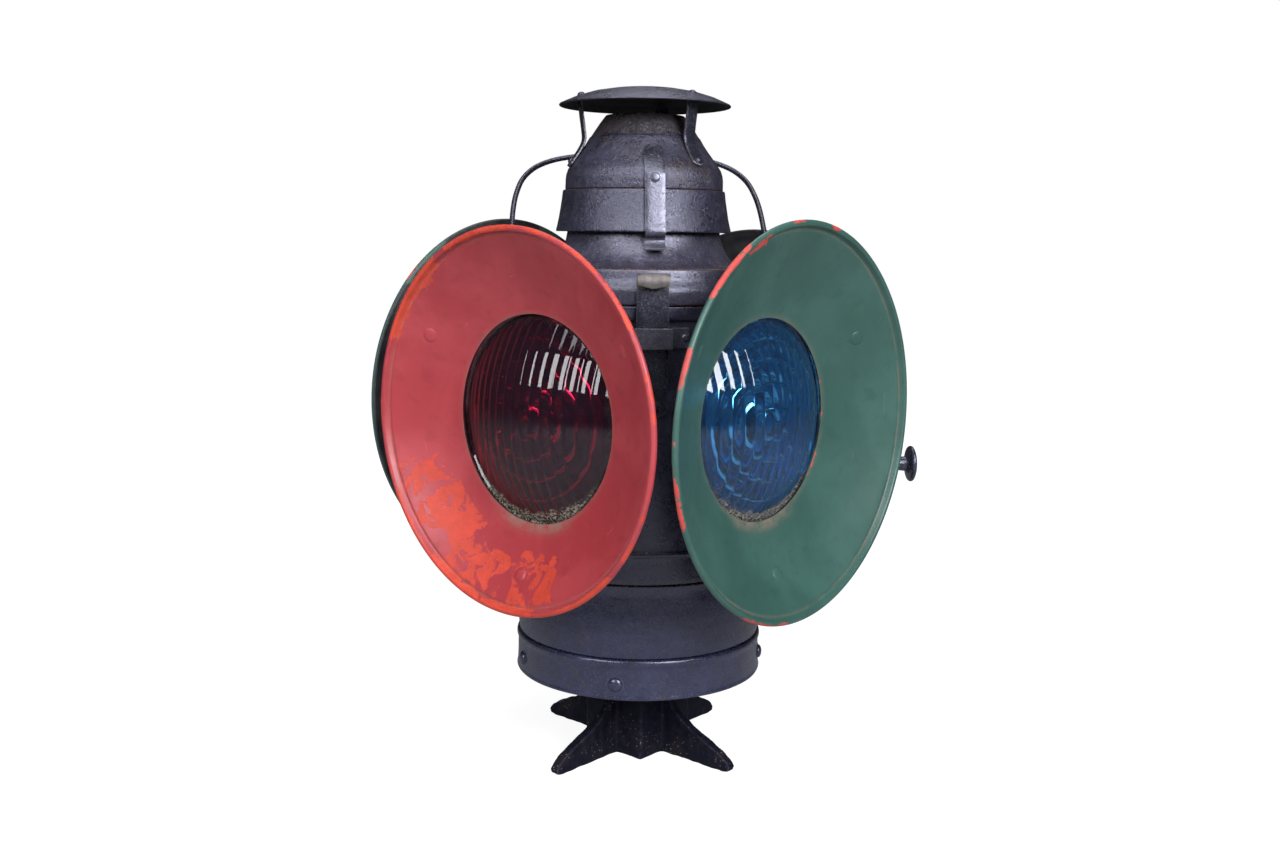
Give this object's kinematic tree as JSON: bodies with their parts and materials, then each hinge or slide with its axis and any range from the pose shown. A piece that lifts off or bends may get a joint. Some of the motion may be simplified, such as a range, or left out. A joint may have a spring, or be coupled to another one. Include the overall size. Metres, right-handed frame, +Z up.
{
  "type": "railway switch lamp",
  "caption": "Four-way oil signal lamp with dished day targets round coloured fluted lenses, hinged top, lift-off smoke hood, bail handle and post socket.",
  "frame": {"origin": "centre of the mounting socket's open end, at the level of its feet, on the lamp's vertical axis", "axes": "+Z up the lamp; the lens axes lie along X and Y, red faces to -Y and +Y, green faces to +X and -X; the latch faces +X-Y and the hinge -X+Y"},
  "size_m": [0.2808, 0.2709, 0.4549],
  "materials": {
    "cast_iron": "cast iron under worn black paint, dull",
    "black_paint": "old blue-black paint on sheet steel, rough, satin",
    "iron_fittings": "black paint worn to brown iron at the edges",
    "red_paint": "faded crimson enamel over orange-red, satin",
    "green_paint": "dull green enamel chipped to red, satin",
    "red_glass": "deep red pressed glass, polished",
    "blue_glass": "blue pressed glass, polished",
    "felt": "grey felt",
    "tinplate": "dull tinplate",
    "brass": "aged brass",
    "wick_cotton": "woven cotton, charred at the tip"
  },
  "bodies": {
    "body": {"mounting_socket": "cast_iron", "base_plate": "black_paint", "base_band": "black_paint", "base_rivet_1": "black_paint", "base_rivet_2": "black_paint", "base_rivet_3": "black_paint", "base_rivet_4": "black_paint", "base_rivet_5": "black_paint", "lower_drum": "black_paint", "body_shell": "black_paint", "lens_barrel_front_red": "black_paint", "lens_gasket_front_red": "felt", "lens_front_red": "red_glass", "day_target_front_red": "red_paint", "target_carrier_front_red": "black_paint", "lens_barrel_right_green": "black_paint", "lens_gasket_right_green": "felt", "lens_right_green": "blue_glass", "day_target_right_green": "green_paint", "target_carrier_right_green": "black_paint", "lens_barrel_rear_red": "black_paint", "lens_gasket_rear_red": "felt", "lens_rear_red": "red_glass", "day_target_rear_red": "red_paint", "target_carrier_rear_red": "black_paint", "lens_barrel_left_green": "black_paint", "lens_gasket_left_green": "felt", "lens_left_green": "blue_glass", "day_target_left_green": "green_paint", "target_carrier_left_green": "black_paint", "fount": "tinplate", "filler_cap": "brass", "burner": "brass", "shaft_bushing": "iron_fittings", "latch_bracket": "iron_fittings", "hinge_leaf_lower": "iron_fittings", "hinge_pin": "iron_fittings"},
    "top": {"top_shell": "black_paint", "draft_cone": "tinplate", "hinge_leaf_upper": "iron_fittings", "bail_ear_right": "iron_fittings", "bail_ear_left": "iron_fittings"},
    "hood": {"hood_dome": "black_paint", "hood_skirt": "black_paint", "cap_strut_1": "iron_fittings", "cap_strut_2": "iron_fittings", "cap_strut_3": "iron_fittings", "smoke_cap": "black_paint"},
    "hood_catch": {"hood_catch": "iron_fittings", "hood_catch_rivet": "iron_fittings"},
    "latch": {"latch_leaf": "iron_fittings", "latch_rivet": "iron_fittings"},
    "bail": {"bail": "iron_fittings"},
    "wick_key": {"wick_shaft": "iron_fittings", "wick_wheel": "brass", "wick_knob": "iron_fittings"},
    "wick": {"wick": "wick_cotton"}
  },
  "joints": [
    {"name": "top_hinge", "type": "hinge", "parent": "body", "child": "top", "pos_m": [-0.06258, 0.06258, 0.3142], "axis": [-0.7071, -0.7071, 0], "range_deg": [0, 85]},
    {"name": "hood_lift", "type": "slide", "parent": "top", "child": "hood", "axis": [0, 0, 1], "range_m": [0, 0.12]},
    {"name": "hood_catch_flex", "type": "hinge", "parent": "hood", "child": "hood_catch", "pos_m": [0.03114, -0.02804, 0.4156], "axis": [-0.6691, -0.7431, 0], "range_deg": [0, 4], "stiffness_Nm_per_rad": 2},
    {"name": "latch_flex", "type": "hinge", "parent": "body", "child": "latch", "pos_m": [0.05819, -0.05819, 0.243], "axis": [0.7071, 0.7071, 0], "range_deg": [0, 2.5], "stiffness_Nm_per_rad": 3},
    {"name": "bail_swing", "type": "hinge", "parent": "top", "child": "bail", "pos_m": [0, 0, 0.32], "axis": [-0.7071, -0.7071, 0], "range_deg": [-97, 0]},
    {"name": "wick_turn", "type": "hinge", "parent": "body", "child": "wick_key", "pos_m": [0.00212, -0.00212, 0.2016], "axis": [0.7071, 0.7071, 0], "range_deg": [-120, 120]},
    {"name": "wick_feed", "type": "slide", "parent": "body", "child": "wick", "axis": [0, 0, 1], "range_m": [-0.009, 0.009]}
  ],
  "couplings": [
    {"joint": "wick_feed", "follows": "wick_turn", "m_per_rad": 0.0038}
  ]
}
